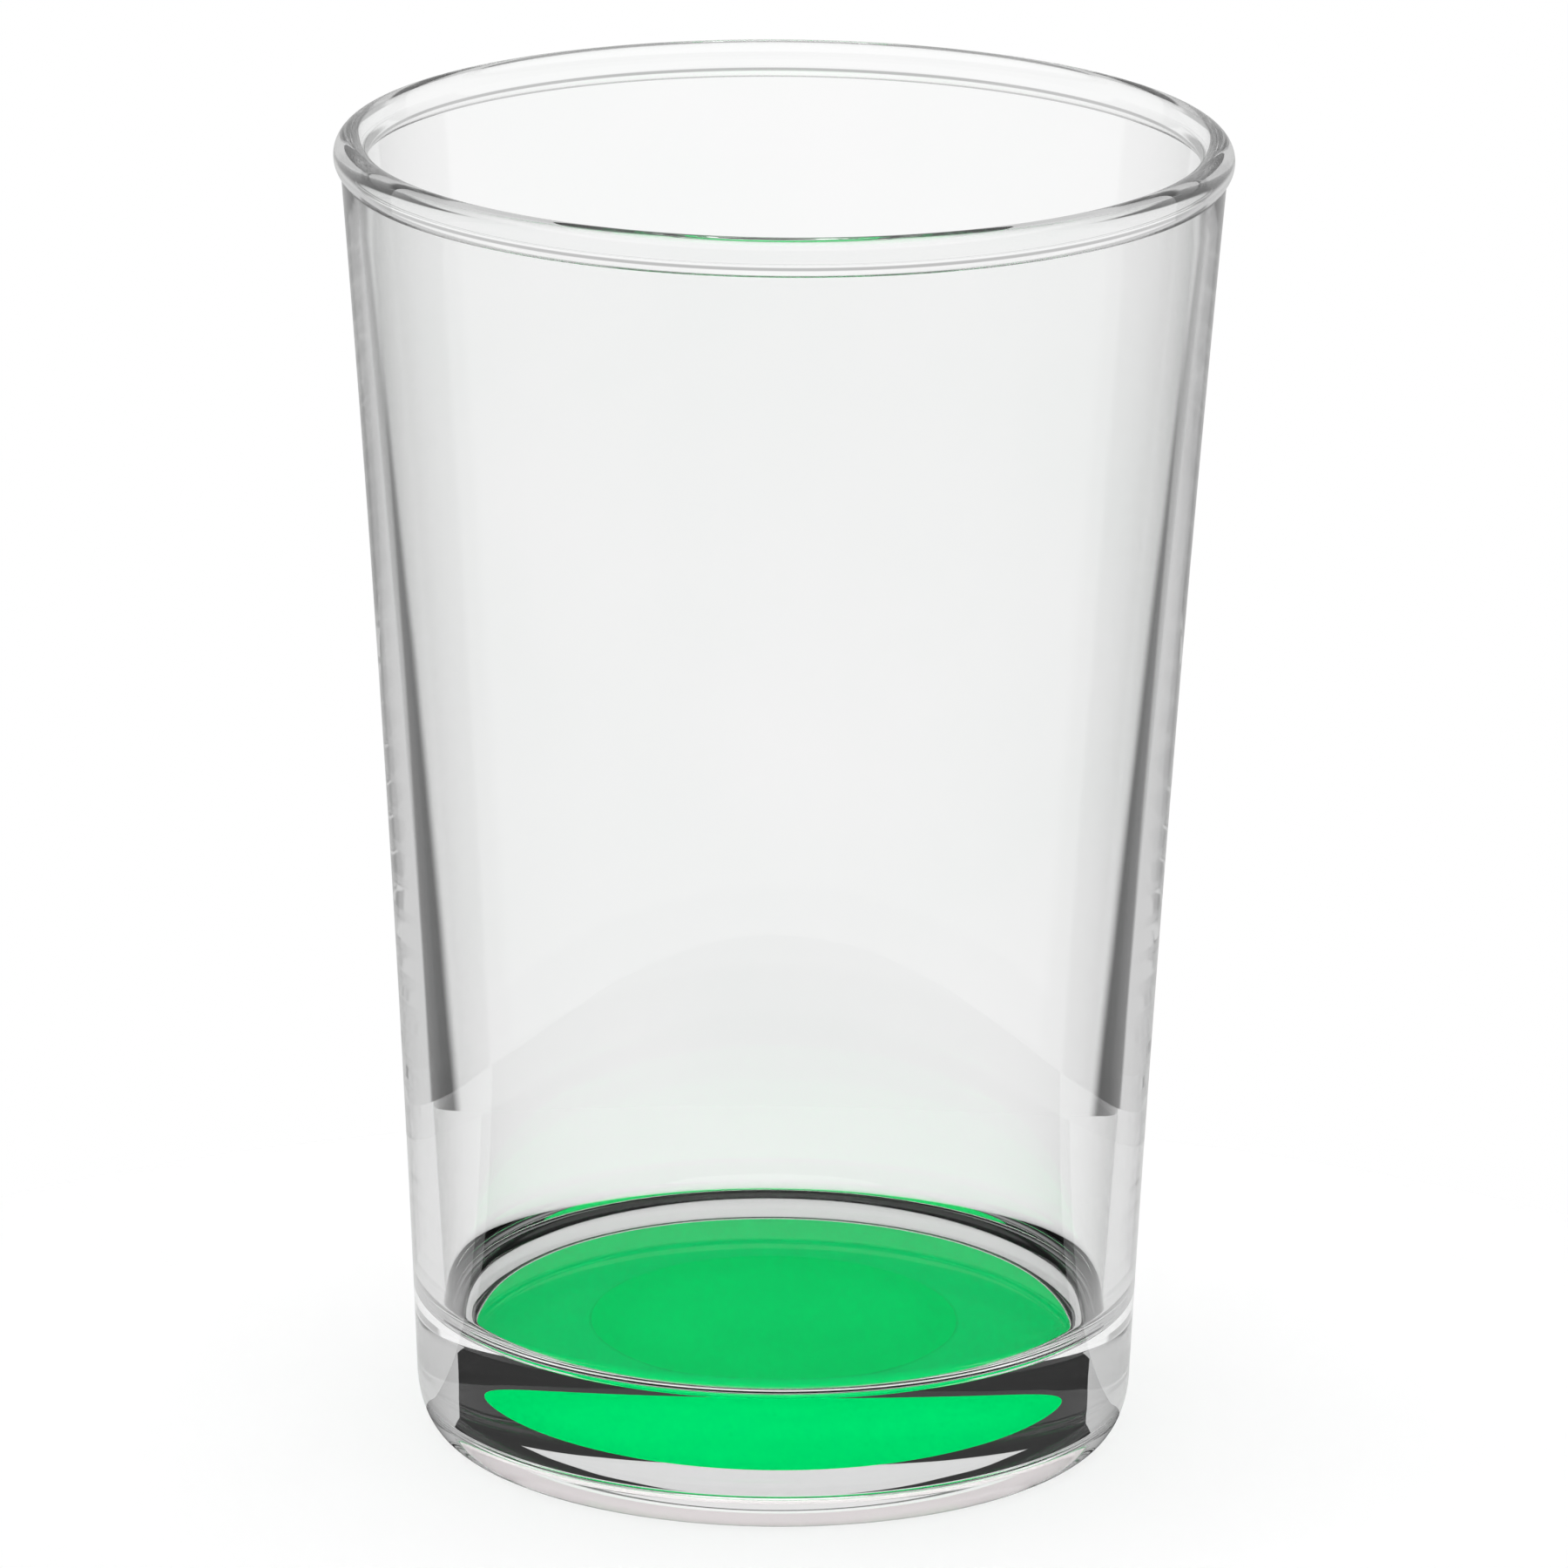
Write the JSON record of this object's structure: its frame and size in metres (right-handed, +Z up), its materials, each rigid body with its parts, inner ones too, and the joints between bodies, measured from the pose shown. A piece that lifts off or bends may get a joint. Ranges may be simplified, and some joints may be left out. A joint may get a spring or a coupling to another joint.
{
  "type": "tasting glass",
  "caption": "Small tapered clear tumbler with a beaded rim, a thick base and a green colour coat under the base, for tasting drinks.",
  "frame": {"origin": "centre of the foot, on the surface that the glass stands on", "axes": "+Z up along the glass's axis of rotation, from the foot to the rim; X and Y are any two square directions across it"},
  "size_m": [0.0604, 0.0604, 0.0905],
  "materials": {
    "clear_glass": "clear, fire-polished",
    "green_coat": "opaque green coat, glossy where it lies on the glass"
  },
  "bodies": {
    "root": {"glass_body": "clear_glass", "base_colour_coat": "green_coat"}
  },
  "joints": []
}
